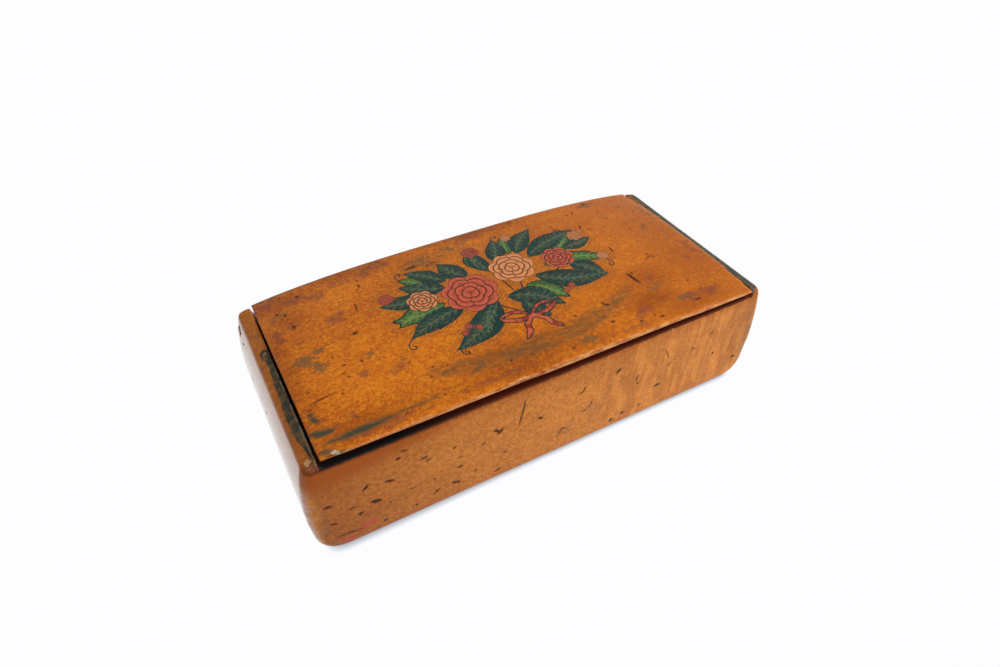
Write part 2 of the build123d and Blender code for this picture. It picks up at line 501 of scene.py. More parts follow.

# %% [markdown]
# A dent is a short stroke: the mesh goes in along it, and its distances are kept for the shader,
# which darkens it. The large ones are listed one by one, and small random ones fill the ground.

# %% Marks on the lid
# A row is x, y, length, width and angle.
lid_marks = Strokes(lid_points)
lid_spots = [
    (22.0, -7.9, 3.5, 0.62, 102), (-27.5, 1.4, 0.9, 0.7, 20), (-25.1, 7.6, 2.2, 0.3, 80),
    (-37.3, 13.4, 0.8, 0.5, 30), (-36.2, 12.3, 0.7, 0.5, 60), (-35.7, 8.4, 0.9, 0.5, 100),
    (-35.9, 9.6, 0.5, 0.4, 0), (11.9, -15.7, 0.7, 0.6, 0), (13.3, -11.7, 1.2, 0.5, -30),
    (34.9, 5.6, 0.7, 0.4, 90), (22.6, 10.2, 1.5, 0.35, 60), (23.9, 9.0, 1.1, 0.25, 120),
    (28.7, 18.0, 0.9, 0.5, 0), (24.3, 15.6, 1.0, 0.3, 70), (23.6, 1.1, 1.9, 0.3, 80),
    (-12.5, 13.4, 2.4, 0.5, 4), (31.0, -12.5, 0.5, 0.4, 0), (16.5, -17.6, 0.5, 0.4, 0),
    (20.6, -18.2, 0.8, 0.5, 10), (2.5, -17.9, 0.6, 0.4, 0), (-31.5, -4.6, 0.5, 0.4, 0),
    (-22.6, 13.0, 1.0, 0.35, 80), (-33.0, 16.4, 0.8, 0.5, 0), (29.3, -17.3, 1.4, 0.35, 5),
]
for spot in lid_spots:
    lid_marks.draw(*dash(*spot))
lid_marks.draw(bent((-38.7, -9.8), (-34.6, -9.3), 0.12), 0.22)
lid_marks.draw(bent((27.4, -4.6), (29.9, -3.9), 0.3), 0.16)
small_marks = 70
chance = random.Random(11)
for _ in range(small_marks):
    x, y = chance.uniform(-39, 39), chance.uniform(-18.5, 18.5)
    size = chance.uniform(0.25, 0.7), chance.uniform(0.16, 0.3)
    lid_marks.draw(*dash(x, y, *size, chance.uniform(0, 180)))
wear += np.clip((lid_marks.width - np.abs(lid_marks.offset)) * 0.9, 0, 0.16) * lid_top
push_in(lid_shape, wear)
print("the lid is worn by up to", round(float(wear.max()), 2), "mm")

# %% [markdown]
# Stains are soft blots with a strength. Three sets are kept on the mesh: grey grime, red-brown
# varnish, and a general darkening, mostly near the edges, where the varnish is thick and old.

# %% Stains on the lid
def stains(points, spots):
    """The strongest of many soft stains; each spot is x, y, length, width, angle and strength."""
    return np.maximum.reduce([v * blot(points, x, y, a, b, turn) for x, y, a, b, turn, v in spots])


def freckles(seed, count, half_x, half_y, strength):
    """Small random stains for the ground between the large ones."""
    chance = random.Random(seed)
    return [
        (chance.uniform(-half_x, half_x), chance.uniform(-half_y, half_y), chance.uniform(0.5, 1.9),
         chance.uniform(0.4, 1.1), chance.uniform(-30, 30), chance.uniform(0.3, 1) * strength)
        for _ in range(count)
    ]


grey_stain = stains(lid_points, [
    (-36.6, -0.7, 2.5, 2.0, 0, 1.0), (-35.0, -3.0, 2.3, 1.7, -30, 1.0), (-34.2, 0.5, 1.9, 1.2, 0, 0.9),
    (-27.2, -4.4, 2.4, 1.4, 10, 0.55), (-9.8, 15.6, 2.4, 1.0, 0, 0.8), (-6.1, 14.2, 2.2, 0.8, 0, 0.8),
    (-1.0, 16.3, 2.6, 0.9, 0, 0.8), (5.8, -17.4, 2.6, 1.1, 0, 0.9), (27.1, -15.6, 1.4, 0.7, 0, 0.9),
    (-36.9, 13.0, 2.0, 1.0, 0, 0.8), (34.2, 4.8, 1.4, 0.9, 0, 0.7), (28.6, 17.6, 2.2, 1.0, 0, 0.8),
    (-12.6, 13.2, 2.6, 1.0, 0, 0.7), (-17.9, -13.6, 2.4, 0.9, 20, 0.8), (-13.4, -15.0, 3.2, 0.9, 12, 0.6),
    (38.8, 10.0, 1.0, 6.0, 0, 0.5), (-10.4, 14.4, 4.6, 2.6, 0, 0.8), (-4.0, 15.6, 3.4, 1.6, 0, 0.6),
    (27.6, -15.6, 2.6, 1.2, 0, 0.7), (24.0, -11.0, 4.4, 2.6, 0, 0.5), (-39.4, -18.9, 1.5, 0.8, 0, 1.0),
])
red_stain = stains(lid_points, [
    (-37.6, 17.4, 4.6, 2.8, 0, 0.7), (-33.5, 15.6, 4.6, 2.4, 8, 0.7), (-30.3, 14.2, 3.0, 2.2, 10, 1.0),
    (-25.6, 16.4, 5.0, 2.0, 6, 0.7), (-17.4, 17.2, 4.0, 2.2, 0, 1.0), (-20.8, 15.9, 3.4, 1.8, 0, 0.9),
    (-28.9, 6.6, 3.0, 2.1, -12, 1.0), (-28.2, 7.4, 1.6, 1.3, 0, 1.0), (-35.9, 4.4, 2.2, 1.4, 0, 0.9),
    (-29.2, -7.6, 1.9, 1.4, 0, 0.9), (-24.7, -9.4, 2.6, 1.6, 20, 0.9), (-38.6, 9.0, 2.0, 7.0, 0, 0.7),
    (-36.0, 9.4, 3.4, 2.2, 0, 0.5), (28.6, -16.0, 3.6, 1.8, 0, 1.0), (33.0, -16.4, 3.0, 1.6, 0, 1.0),
    (17.8, -16.0, 3.8, 1.9, 0, 0.7), (36.0, -7.1, 2.4, 1.5, 0, 0.7), (2.0, 17.9, 10.0, 2.0, 0, 0.7),
    (29.0, 17.4, 4.4, 2.0, 0, 0.9), (38.5, -4.0, 1.8, 9.0, 0, 0.6), (-30.0, -18.4, 9.0, 1.4, 0, 0.9),
    (-10.0, -18.2, 13.0, 1.2, 0, 0.8), (14.0, -18.6, 12.0, 1.2, 0, 0.7), (-35.0, -15.0, 4.0, 1.6, 10, 0.6),
    (25.5, -8.6, 3.4, 2.2, 0, 0.6),
] + freckles(12, 46, 39, 18, 0.7))
aged_lid = stains(lid_points, [
    (-36.0, 16.5, 9.0, 5.0, 0, 0.8), (-22.0, 18.2, 16.0, 3.4, 0, 0.7), (4.0, 18.6, 20.0, 3.4, 0, 0.75),
    (-39.6, 0.0, 2.6, 20.0, 0, 0.55), (25.0, -9.0, 7.0, 4.0, 0, 0.45), (36.0, 0.0, 8.0, 26.0, 0, 0.35),
    (-8.0, -17.0, 24.0, 3.6, 0, 0.55), (-33.0, -17.0, 8.0, 3.0, 0, 0.5), (28.0, -17.0, 14.0, 3.0, 0, 0.5),
    (-7.0, -13.6, 17.0, 2.8, 0, 0.45), (-36.0, 11.5, 5.5, 4.5, 0, 0.55), (-10.0, 15.0, 9.0, 4.0, 0, 0.5),
    (21.5, -14.2, 8.0, 3.6, 0, 0.75), (32.0, -16.6, 8.0, 2.4, 0, 0.5), (-20.0, 16.4, 8.0, 3.0, 0, 0.4),
]) + 0.18 * np.clip(lid_points[:, 0] / 30, 0, 1)

# %% [markdown]
# The lid once had a dark border. It is worn off but for some smoky pieces at the front left and a
# thin line at the back, so only those are drawn.

# %% What is left of the dark border on the lid
border = Strokes(lid_points)
border.draw([(-40.5, -15.0), (-39.5, -15.3), (-38.2, -15.7), (-36.8, -15.6)], 1.5)
border.draw([(-38.9, -17.5), (-36.6, -17.6), (-34.0, -17.6), (-31.0, -17.5), (-28.6, -17.2)], 1.5)
border.draw([(-31.0, -17.6), (-27.0, -17.3), (-23.4, -17.2), (-20.0, -17.0)], 0.5)
border.draw([(-39.4, -11.2), (-39.0, -12.4), (-38.3, -13.9)], 1.3)
border.draw([(-40.4, -18.7), (-39.3, -18.9), (-38.2, -19.0)], 0.8)
border.draw([(-40.6, -16.8), (-39.6, -17.2), (-38.8, -17.9)], 0.5)
border.draw(bent((-40.6, 19.6), (-3.0, 19.7), 0.0), 1.3, pointed=False)
border.draw(bent((-5.0, 19.7), (38.0, 19.75), 0.0), 0.9, pointed=False)

# %% [markdown]
# ## The painted posy
#
# The lid carries a small coloured print of the usual keepsake kind. Here it is a posy of garden
# flowers with dark leaves over a hatched bank. Every leaf and bloom is one row of a list that
# says where it grows, so the layout is easy to read and to change.

# %% Leaves, blooms and stems
# A leaf's row is x, y, angle, length, width and bend; a bloom's is x, y and radius.
dark_leaves = [
    (-3.0, -2.4, 214, 14.0, 2.7, 1.2), (-9.0, -1.4, 196, 11.5, 2.3, -0.8), (-9.5, 5.0, 152, 8.4, 2.2, 0.6),
    (-1.0, -2.2, 322, 10.5, 2.5, 1.2), (6.2, 0.6, 338, 14.0, 2.6, -1.2), (8.0, 6.0, 18, 13.5, 2.3, 0.8),
    (-4.6, 6.0, 118, 7.0, 2.2, 0.5), (1.8, 7.8, 66, 7.2, 2.0, -0.5), (13.8, 1.0, 306, 7.6, 2.0, 0.6),
    (-13.6, 4.8, 176, 8.2, 1.9, 0.7), (6.6, 8.0, 44, 9.0, 2.1, 0.6), (1.0, -4.0, 292, 6.6, 1.9, -0.4),
    (-0.4, 5.4, 96, 8.0, 1.7, 0.3), (-8.6, 6.4, 136, 8.6, 1.8, -0.5), (15.4, 5.6, 8, 7.0, 1.6, -0.4),
]
green_leaves = [
    (-4.5, -3.0, 240, 7.6, 2.0, -0.6), (-11.5, 1.0, 182, 9.8, 1.9, 0.8), (-1.6, 6.8, 84, 6.6, 1.6, 0.4),
    (3.6, -1.0, 310, 8.2, 2.0, 0.6), (9.5, 2.4, 352, 10.4, 1.9, 0.9), (12.6, 5.0, 38, 7.6, 1.6, -0.6),
    (-12.0, 6.2, 132, 6.2, 1.6, -0.5), (-15.5, 2.6, 216, 6.4, 1.5, 0.4), (15.2, 2.4, 334, 6.6, 1.5, 0.4),
    (5.4, 8.6, 74, 6.0, 1.4, 0.3),
]
red_blooms = [
    (-6.2, 1.6, 5.3), (13.0, 3.4, 3.3), (-0.9, 12.4, 1.8), (-20.0, 6.8, 1.5),
    (-10.4, -6.0, 0.75), (-8.9, -7.0, 0.7), (-11.7, -7.3, 0.65), (9.2, -5.6, 0.7), (10.8, -4.7, 0.75),
]
pale_blooms = [(3.8, 4.6, 4.5), (-14.6, 3.4, 2.9), (19.8, 8.2, 1.7), (21.0, 0.2, 1.3), (7.4, 13.6, 1.2)]
tendrils = [
    (-18.0, -4.0, 195, 3.0, 1), (-14.9, 9.4, 130, 2.6, -1), (19.5, 0.1, 325, 2.8, -1),
    (17.2, 8.6, 55, 2.4, 1), (4.2, 13.0, 80, 2.0, -1), (-7.3, 11.0, 120, 2.2, 1), (-12.6, -8.7, 225, 2.4, 1),
]
stem_foot = (0.4, -8.4)
stems = [
    (stem_foot, (-6.2, -1.0)), (stem_foot, (3.8, 2.0)), (stem_foot, (13.0, 1.6)), ((0.8, -1.0), (-0.9, 11.4)),
    ((-13.0, 4.6), (-20.0, 6.6)), ((13.6, 5.0), (19.8, 8.0)), ((14.0, 1.6), (21.0, 0.2)),
]


def nearest(shapes):
    """The distance to a set of shapes is the smallest of their distances."""
    return np.minimum.reduce(shapes)


def draw_stems(points):
    """Stems from the ribbon to every bloom, and loose tendrils."""
    lines = Strokes(points)
    for foot, tip in stems:
        lines.draw(bent(foot, tip, 0.05 * (tip[0] - foot[0])), 0.28, pointed=False)
    for x, y, _ in red_blooms[4:7]:
        lines.draw(bent((-7.4, -4.0), (x, y + 0.6), 0.2), 0.22)
    for x, y, _ in red_blooms[7:]:
        lines.draw(bent((7.6, -3.2), (x, y + 0.6), -0.2), 0.22)
    for x, y, angle, size, hand in tendrils:
        lines.draw(curl((x, y), angle, size, hand=hand), 0.2, pointed=False)
    return lines


def draw_veins(points):
    """A midrib and side veins for every leaf."""
    veins = Strokes(points)
    for x, y, angle, length, width, bend in dark_leaves + green_leaves:
        ahead = np.array((math.cos(math.radians(angle)), math.sin(math.radians(angle))))
        aside = np.array((-ahead[1], ahead[0]))
        veins.draw(bent((x, y), np.array((x, y)) + 0.94 * length * ahead, bend), 0.24)
        for share in np.arange(1.4, length - 1.0, 1.25) / length:
            middle = np.array((x, y)) + length * share * ahead + 4 * bend * share * (1 - share) * aside
            reach = width * 0.8 * math.sin(math.pi * share**0.8)
            for side in (-1, 1):
                veins.draw([middle, middle + reach * (0.75 * ahead + 0.66 * side * aside)], 0.15)
    return veins


def draw_ribbon(points):
    """A bow with two hollow loops and two tails."""
    bow = Strokes(points)
    x, y = stem_foot
    for side in (-1, 1):
        tip = (x + side * 5.6, y + 1.5)
        bow.draw(bent(stem_foot, tip, side * 1.25), 0.75)
        bow.draw(bent(stem_foot, tip, side * -0.75), 0.95)
        tail = ((0, 0), (1.9, 1.6), (2.1, 3.0), (3.6, 4.6))
        bow.draw([(x + side * out, y - down) for out, down in tail], 1.0)
    bow.draw([(x - 0.7, y), (x + 0.7, y)], 1.3)
    return bow


def posy_layers(points):
    """Distances to every layer of the posy, by name."""
    lines, veins, bow, bank = draw_stems(points), draw_veins(points), draw_ribbon(points), Strokes(points)
    bank.draw([(-21.5, -12.4), (-13, -14.2), (-4, -14.8), (5, -14.6), (13, -12.8), (20.5, -9.2)], 3.4)
    dark = np.array([leaf(points, (x, y), a, s, w, b) for x, y, a, s, w, b in dark_leaves])
    green = np.array([leaf(points, (x, y), a, s, w, b) for x, y, a, s, w, b in green_leaves])
    blooms = np.array(red_blooms + pale_blooms)
    to_bloom = np.array([round_shape(points, (x, y), r) for x, y, r in blooms])
    mine = blooms[to_bloom.argmin(axis=0)]
    return {
        "dark_leaf": nearest(dark), "green_leaf": nearest(green),
        "leaf_half": veins.offset,
        "halo": np.minimum(np.minimum(dark.min(axis=0), green.min(axis=0)), to_bloom.min(axis=0)),
        "bloom_x": (points[:, 0] - mine[:, 0]) / mine[:, 2],
        "bloom_y": (points[:, 1] - mine[:, 1]) / mine[:, 2],
        "bloom_size": mine[:, 2], "bloom_near": to_bloom.min(axis=0),
        "bloom_red": np.where(to_bloom.argmin(axis=0) < len(red_blooms), 1.0, 0.0),
        "bow": bow.gap, "bank": bank.gap,
        "line_offset": lines.offset, "line_width": lines.width,
        "vein_offset": veins.offset, "vein_width": veins.width,
    }


# %% [markdown]
# The mesh is now finished: every distance and stain goes on it under a name that the shader asks
# for, and the piece takes the place of the frame's plain lid.

# %% Finish the lid's mesh
lid_chip = [(-37.9, -19.4, 1.0, 0.7, -15, 1.0), (-36.4, -19.8, 1.2, 0.3, 0, 0.5)]
lid_values = {label: np.clip(numbers, -6, 6) for label, numbers in posy_layers(lid_points).items()}
lid_values.update({
    "mark_gap": lid_marks.gap, "mark_offset": lid_marks.offset,
    "mark_width": np.where(upper, lid_marks.width, -far_away),
    "ink": np.where(upper, border.gap, far_away),
    "grey_stain": grey_stain * lid_top, "red_stain": red_stain * lid_top,
    "deepened_tone": np.clip(aged_lid, 0, 1), "bare": stains(lid_points, lid_chip), "outside": lid_top,
})
lid_piece = finished_piece("carved_lid", lid_shape, "lid", "lid", lid_values)

# %% [markdown]
# ## The box
#
# The outside of the block is varnished and dented. The tops of the end walls still hold a strip
# of the dark border, and bare wood shows where the front left corner is chipped. The walls'
# inner faces are moved a little closer to the lid, most at the back, where the gap is narrowest.

# %% Carve the box
box_face = 0.36 * MM
bay_half = lid_high.x + 0.3    # half of the bay between the end walls
rim = 21.05                    # height of the rim
under_rim = 20.6               # below this the softening takes in everything
wall_line = 20.9               # above this only the end walls stand,
wall_inner = 40.6              # further out than this
end_line = 41.2                # the ends' outer faces lie further out than this
socket_foot = 15.5             # the knuckles' sockets lie above this
box_shape = carved_copy("box_body", box_face)
soften(box_shape, 1)
soften(box_shape, 1, lambda place: abs(abs(place.x) - bay_half) > 0.8 or place.z < under_rim)
draw_out(box_shape, "box_body")
for vertex in box_shape.verts:
    if vertex.co.z > wall_line * MM and abs(abs(vertex.co.x) / MM - bay_half) < 0.4:
        closer = 0.1 + 0.1 * min(max((vertex.co.y / MM + 4) / 8, 0), 1)
        vertex.co.x -= math.copysign(closer * MM, vertex.co.x)
sheet_low, sheet_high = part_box("lining_floor")
sheet_high.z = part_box("lining_front")[1].z - 1 * MM
skin = Vector((0.2, 0.2, 0.2)) * MM
merge_hidden(box_shape, sheet_low - skin, sheet_high + skin)
box_low, box_high = (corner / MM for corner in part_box("box_body"))
box_places, box_normals = places_and_normals(box_shape)
box_x, box_y, box_z = box_places.T
outward = np.abs(box_x)
facing = np.abs(box_normals).argmax(axis=1)
outer_side = (np.abs(box_y) > box_high.y - 1.2) | (outward > end_line)
outer = np.where(outer_side | (box_z < 2.0), 1.0, 0.0)
wear = slow_waves(box_places, 19.0, 4) * 0.08 + slow_waves(box_places, 3.4, 5) * 0.02
wear *= outer
sockets = (outward < bay_half) & (box_y > hinge_front) & (box_z > socket_foot)
wear += knuckle_room * sockets

# %% [markdown]
# Each face of the block gets its own set of strokes, drawn in the plane of that face. A vertex
# takes its distances from the face that its normal points at.

# %% Marks on the front, the back and the ends
# A row is x, height, length, width and angle.
front_marks = [
    (-33.9, 8.8, 1.9, 0.8, -20), (-31.3, 12.3, 1.7, 0.5, -20), (-35.1, 13.1, 1.5, 0.45, 45),
    (-29.6, 16.7, 0.8, 0.5, 0), (-41.1, 12.2, 1.4, 0.6, -5), (-36.6, 7.4, 0.7, 0.7, 0),
    (-40.9, 7.6, 1.4, 0.4, -25), (-19.4, 8.3, 1.1, 0.45, -5), (-11.1, 7.1, 0.6, 0.45, 0),
    (-12.6, 13.4, 1.5, 0.5, -40), (-11.9, 13.0, 1.6, 0.5, 50), (-4.3, 12.0, 1.0, 0.55, -30),
    (3.6, 14.0, 0.9, 0.35, 10), (4.3, 14.7, 1.1, 0.3, 70), (11.3, 15.7, 1.5, 0.6, 42),
    (16.0, 11.6, 1.9, 0.3, 80), (16.3, 10.2, 0.8, 0.3, -30), (6.1, 10.0, 1.6, 0.25, 75),
    (5.0, 9.0, 1.2, 0.3, 20), (0.0, 5.9, 1.4, 0.2, 50), (0.8, 6.6, 1.2, 0.2, -20),
    (13.9, 3.4, 0.8, 0.6, 0), (11.5, 2.7, 0.9, 0.7, 20), (17.9, 3.5, 0.7, 0.5, 0),
    (-12.4, 2.9, 1.4, 0.45, 5), (28.8, 13.1, 0.8, 0.3, 30), (32.5, 15.5, 0.9, 0.3, 60),
    (40.6, 5.8, 0.8, 0.6, 0), (-24.7, 13.4, 0.8, 0.4, 20), (-20.2, 13.7, 0.7, 0.4, 60),
    (-19.3, 10.8, 0.6, 0.3, 20), (-16.6, 5.4, 0.8, 0.3, 60), (-33.0, 2.9, 0.7, 0.5, 20),
    (-27.5, 3.3, 0.5, 0.4, 0), (-31.7, 7.1, 0.6, 0.25, 90), (-27.7, 8.1, 1.0, 0.2, -10),
    (-15.1, 11.6, 0.5, 0.4, 0), (-24.0, 8.0, 0.5, 0.3, 0), (-1.4, 17.3, 0.5, 0.3, 30),
]
front_plane = box_places[:, [0, 2]]
back_plane = front_plane * [-1, 1]
end_plane = box_places[:, [1, 2]]
under_plane = box_places[:, :2]


def scattered(marks, count, half_length, low, high, seed):
    """Random small dents, between the drawn ones and on the faces that the photo doesn't show."""
    chance = random.Random(seed)
    for _ in range(count):
        x, y = chance.uniform(-half_length, half_length), chance.uniform(low, high)
        marks.draw(*dash(x, y, chance.uniform(0.4, 1.8), chance.uniform(0.25, 0.6), chance.gauss(0, 35)))


front_set = Strokes(front_plane)
for mark in front_marks:
    front_set.draw(*dash(*mark))
front_set.draw(bent((-7.5, 18.2), (-8.5, 12.6), 0.15), 0.3)
front_set.draw(bent((-40.9, 3.9), (-36.7, 3.3), 0.15), 0.3)
front_set.draw(bent((21.6, 16.0), (22.6, 13.8), 0.1), 0.16)
scattered(front_set, 9, 38, 4, 19, 21)
back_set = Strokes(back_plane)
scattered(back_set, 34, 41, 2, 17, 22)
end_set = Strokes(end_plane)
scattered(end_set, 12, 17, 3, 19, 23)
under_set = Strokes(under_plane)
scattered(under_set, 30, 37, -17, 17, 24)

box_gap = np.full(len(box_places), far_away)
box_offset = np.full(len(box_places), far_away)
box_width = np.full(len(box_places), -far_away)
front_side = (facing == 1) & (box_y < box_low.y + 1)
back_side = (facing == 1) & (box_y > box_high.y - 1)
end_side = (facing == 0) & (outward > end_line)
under_side = (facing == 2) & (box_z < 1)
for side, marks in (
    (front_side, front_set), (back_side, back_set), (end_side, end_set), (under_side, under_set)
):
    box_gap[side] = marks.gap[side]
    box_offset[side] = marks.offset[side]
    box_width[side] = marks.width[side]
wear += np.clip((box_width - np.abs(box_offset)) * 0.9, 0, 0.22)

# %% [markdown]
# Chips go round a corner, so they are balls in space and not blots on a face. They take some wood
# away, and the shader breaks their edge up into splinters.

# %% Chips and rubbed corners
def balls(places, spots):
    """The strongest of many soft balls; each spot is x, y, z, reach and strength."""
    return np.maximum.reduce([
        strength * np.clip(1.35 - np.linalg.norm(places - (x, y, z), axis=1) / reach, 0, 1)
        for x, y, z, reach, strength in spots
    ])


chipped = balls(box_places, [
    (-42.0, -18.3, 22.1, 0.75, 1.0), (-41.1, -19.4, 21.8, 0.7, 0.55), (22.2, -19.9, 21.05, 0.5, 0.8),
    (-41.7, 6.2, 22.0, 0.5, 0.7),
])
rubbed = balls(box_places, [
    (-41.6, -19.0, 21.6, 1.3, 0.6), (-43.7, -19.2, 15.6, 1.5, 0.6), (-44.0, -19.0, 12.6, 1.8, 0.9),
    (-44.0, -19.0, 10.0, 1.6, 0.9), (-43.4, -19.2, 6.0, 1.6, 0.6), (-40.0, -18.6, 1.2, 1.6, 0.5),
    (43.6, -19.2, 14.0, 2.2, 0.6), (43.2, -18.9, 7.0, 2.0, 0.7), (-44.0, 18.8, 12.0, 2.6, 0.7),
    (44.0, 18.8, 9.0, 2.6, 0.7),
])
uneven = slow_waves(box_places, 0.9, 6)
wear += 0.35 * chipped * uneven + 0.14 * rubbed * uneven
push_in(box_shape, wear)
print("the box is worn by up to", round(float(wear.max()), 2), "mm")

# %% [markdown]
# The varnish pooled thick and dark under the rim, above a line that drops towards the left. The
# strips on the end walls are what is left of the border, and keep to the tops of the walls.

# %% Dark strips on the end walls, stains and painted shade on the front
wall_top = (box_z > wall_line) & (outward > wall_inner)
strip = Strokes(under_plane)
strip.draw([(-41.0, 6.9), (-41.1, 2.0), (-41.1, -3.0), (-41.2, -9.0), (-41.15, -14.0), (-40.9, -19.4)], 1.9)
strip.draw([(-41.1, -1.0), (-41.45, -8.0), (-41.35, -13.0), (-41.0, -17.0)], 1.9)
strip.draw([(-41.6, 7.2), (-41.9, 5.6), (-41.6, 3.8)], 1.0)
strip.draw(bent((42.0, 19.6), (41.9, 9.0), 0.1), 2.0, pointed=False)
strip.draw(bent((41.8, 9.4), (41.9, -4.0), -0.1), 1.6, pointed=False)
strip.draw(bent((41.9, -2.0), (41.8, -14.5), 0.1), 1.9, pointed=False)
strip.draw(bent((41.8, -13.0), (41.5, -19.8), 0.1), 1.9, pointed=False)
below_top = 1.6 * (box_high.z - 0.4 - box_z) - 4 * np.clip(41.4 - outward, 0, 1)
strip_gap = np.maximum(strip.gap, below_top)
wall_side = (outward > 40.72) & (outward < end_line) & (box_z > wall_line)
outer = np.where(wall_side, 1.0, outer)
# The front deepens towards the left: partly thick old varnish, partly painted shade for light that falls from
# the right.
front_deepening = 0.22 - 0.0045 * box_x - 0.022 * np.minimum(box_x + 15, 0)
front_deepening += 0.2 * blot(front_plane, 0.0, 1.0, 44.0, 1.6) + 0.3 * blot(front_plane, 7.0, 18.0, 12.0, 3.6)
front_deepening += 0.4 * blot(front_plane, 40.0, 13.0, 5.0, 14.0)
box_deepening = np.where(front_side, front_deepening, 0.25 + 0.4 * slow_waves(box_places, 14.0, 7))
left_turn = np.clip((-42.2 - box_x) / 1.5, 0, 1)
box_deepening = box_deepening * (1 - left_turn) + 0.25 * left_turn
pool_foot = rim - 0.5 - 3.4 * np.clip((-14 - box_x) / 24, 0, 1) ** 1.3
pooled = np.where(box_y < box_low.y + 2, box_z - pool_foot, -far_away)
grey_box = np.maximum.reduce([
    0.8 * blot(end_plane, -18.6, 13.0, 1.4, 5.0) * (box_x < 0),
    0.7 * np.clip(6 * slow_waves(box_places, 2.6, 12) - 3.4, 0, 1) * wall_top * (box_x < 0),
    0.7 * blot(front_plane, -42.4, 9.0, 1.2, 7.0), 0.5 * blot(front_plane, 1.0, 6.0, 3.0, 2.0),
    0.8 * blot(front_plane, 42.4, 11.0, 1.6, 11.0), 0.5 * blot(front_plane, 7.0, 8.6, 2.4, 2.4),
    0.9 * blot(front_plane, -41.0, 1.2, 5.0, 2.0),
])
red_box = np.maximum.reduce([
    0.5 * blot(front_plane, -36.0, 17.2, 8.0, 3.4, -6), 0.4 * blot(front_plane, -20.0, 18.6, 16.0, 2.4),
    0.7 * blot(front_plane, 9.5, 9.5, 1.3, 9.0), 0.5 * blot(front_plane, 12.0, 19.0, 4.0, 2.0),
    0.5 * blot(front_plane, -30.0, 1.6, 20.0, 1.4), 0.6 * blot(front_plane, 24.0, 19.0, 5.0, 1.6),
])
red_all = np.where(front_side, red_box, 0.7 * slow_waves(box_places, 4.0, 10))
red_all = np.where(wall_top & (box_x < 0), 0.45 + red_all, red_all)
smear = Strokes(front_plane)
smear.draw([(-37.4, 3.4), (-35.9, 4.0), (-34.0, 4.8)], 1.0)
smear.draw([(-41.2, 2.7), (-39.6, 2.2), (-38.0, 2.0)], 0.7)
box_values = {
    "mark_gap": box_gap, "mark_offset": box_offset, "mark_width": box_width,
    "ink": np.where(wall_top, strip_gap, far_away), "pooled": np.clip(pooled, -far_away, far_away),
    "smear": np.where(front_side, smear.gap, far_away),
    "grey_stain": grey_box * outer, "red_stain": red_all * outer,
    "chipped": chipped, "rubbed": rubbed, "outside": outer, "deepened_tone": np.clip(box_deepening, 0, 1),
}
box_piece = finished_piece("carved_box", box_shape, "box", "box_body", box_values)

# %% [markdown]
# ## Varnished wood
#
# Sycamore has almost no open grain. What shows is a fine fleck, slow changes from yellow to red
# where the varnish is thick, and a faint rippled figure. One group makes that wood for the box,
# the lid and the pegs. Each material then adds its own stains, paint and dents.

# %% The wood group
wood, given = new_group("honey_wood", {
    "Place": None, "Pale": (0.6, 0.2, 0.03, 1), "Deep": (0.38, 0.09, 0.015, 1),
    "Gold": (0.6, 0.22, 0.01, 1), "Ripple": 0.0, "Contrast": 1.0,
})
place = given["Place"]
streak = cloud(place, 0.5, 3.0, (0.2, 1.0, 1.0))
fleck = cloud(place, 1.4, 2.0, (0.95, 1.05, 1.05))
speck = cloud(place, 3.4, 2.0, (0.85, 1.1, 1.1))
tone = mask(cloud(place, 0.11, 3.0, (0.6, 1.0, 1.0)), 0.32, 0.68) * 0.24 - 0.10
for layer, low, high, share in (
    (streak, 0.32, 0.70, 0.08), (fleck, 0.36, 0.64, 0.36), (speck, 0.36, 0.66, 0.36),
    (cloud(place, 5.6, 1.0), 0.34, 0.66, 0.26),
):
    tone = tone + mask(layer, low, high) * share
tone = (tone - 0.55) * given["Contrast"] + 0.5
ripple = mask(cloud(place, 0.85, 1.5, (1.0, 0.2, 0.2)), 0.38, 0.64)
tone = tone + (ripple - 0.5) * given["Ripple"]
gilt = mask(cloud(place, 0.9, 2.0), 0.48, 0.66) * mask(tone, 0.35, 0.8)
colour = lay(lay(given["Deep"], given["Pale"], tone), given["Gold"], gilt, 0.6)
put_out(wood, {"Color": colour, "Height": (fleck + streak) * 0.5})

# %% [markdown]
# Paint and scratches are cut out of the distances on the mesh. One group cuts an area with a
# shaky, worn border, and one a stroke from its offset and half width. A third draws hatching,
# which needs only the place.

# %% Paint, scratch and hatching groups
painted, given = new_group(
    "painted_area", {"Place": None, "Distance": 1.0, "Wobble": 0.1, "Softness": 0.06, "Wear": 0.0}
)
shaky = cloud(given["Place"], 0.9, 3.0) - 0.5
edge = shaky * (given["Wobble"] * 2.0) + given["Distance"]
area = mask(edge, given["Softness"], given["Softness"] * -1.0)
thin = mask(cloud(given["Place"], 1.3, 5.0), 0.52, 0.66)
put_out(painted, {"Mask": area * (1.0 - thin * given["Wear"])})

scratched, given = new_group("fine_stroke", {"Offset": 1.0, "Width": -1.0, "Softness": 0.05})
reach = abs(given["Offset"]) - given["Width"]
put_out(scratched, {"Mask": mask(reach, given["Softness"], given["Softness"] * -1.0)})

hatched, given = new_group(
    "engraved_lines", {"Place": None, "Angle": 0.6, "Lines per mm": 2.0, "Weight": 0.5}
)
inputs = {"Vector": given["Place"], "Angle": given["Angle"]}
slanted = add(hatched, "ShaderNodeVectorRotate", inputs, rotation_type="Z_AXIS")[0]
uneven = cloud(given["Place"], 0.6, 2.0) * 0.35 + parts(slanted)[0]
phase = sums("FRACT", uneven * given["Lines per mm"])
half_line = given["Weight"] * 0.5
put_out(hatched, {"Mask": mask(abs(phase - 0.5), half_line, half_line - 0.12)})

# %% [markdown]
# A rose is four rings of petals, the outer ones first. Each ring is a wavy circle, which covers
# the lines of the ring outside it and adds its own rim, seams and shade.

